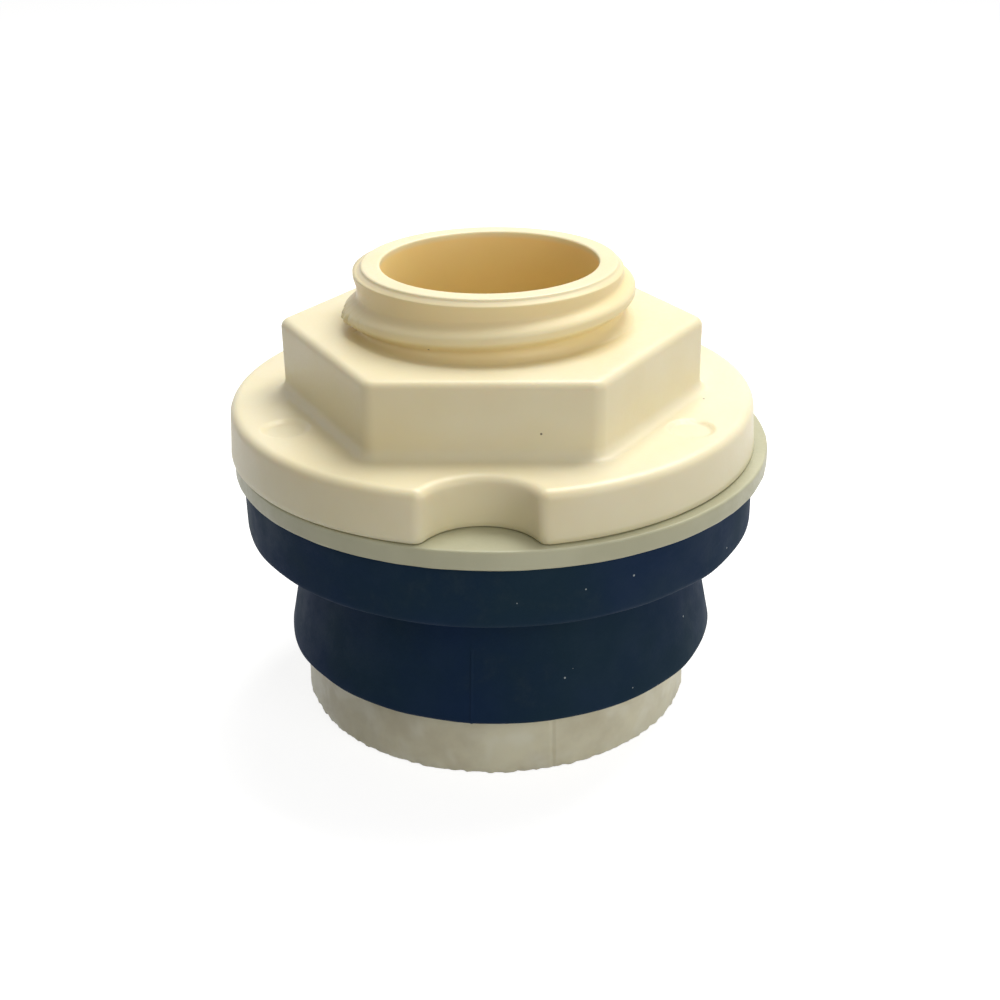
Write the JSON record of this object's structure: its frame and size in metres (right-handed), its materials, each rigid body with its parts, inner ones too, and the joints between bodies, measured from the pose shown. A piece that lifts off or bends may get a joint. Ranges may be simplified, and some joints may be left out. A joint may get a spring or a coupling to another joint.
{
  "type": "urinal spud",
  "caption": "Plastic urinal spud: threaded spigot, hexagon and notched flange over a friction washer, a flared rubber gasket and a screwed expander nut.",
  "frame": {"origin": "on the body's axis at the lower end of the water bore, level with the foot of the nut", "axes": "+Z along the water bore, towards the threaded spigot; the front notch of the flange faces -Y"},
  "size_m": [0.0512, 0.051, 0.0435],
  "materials": {
    "ivory_plastic": "moulded ABS, satin with a soft shine",
    "washer_plastic": "natural polypropylene, waxy",
    "navy_rubber": "moulded rubber, matt with a dusty bloom",
    "nut_plastic": "natural polypropylene, translucent and mottled"
  },
  "bodies": {
    "gasket_stack": {"rubber_gasket": "navy_rubber", "friction_washer": "washer_plastic"},
    "body": {"spud_body": "ivory_plastic"},
    "nut": {"expander_nut": "nut_plastic"}
  },
  "joints": [
    {"name": "hexagon_turn", "type": "hinge", "parent": "gasket_stack", "child": "body", "pos_m": [0, 0, 0], "axis": [0, 0, -1], "range_deg": [0, 450]},
    {"name": "nut_rise", "type": "slide", "parent": "gasket_stack", "child": "nut", "axis": [0, 0, 1], "range_m": [0, 0.00431], "deforming": ["rubber_gasket"]}
  ],
  "couplings": [
    {"joint": "nut_rise", "follows": "hexagon_turn", "m_per_rad": 0.00054909}
  ]
}
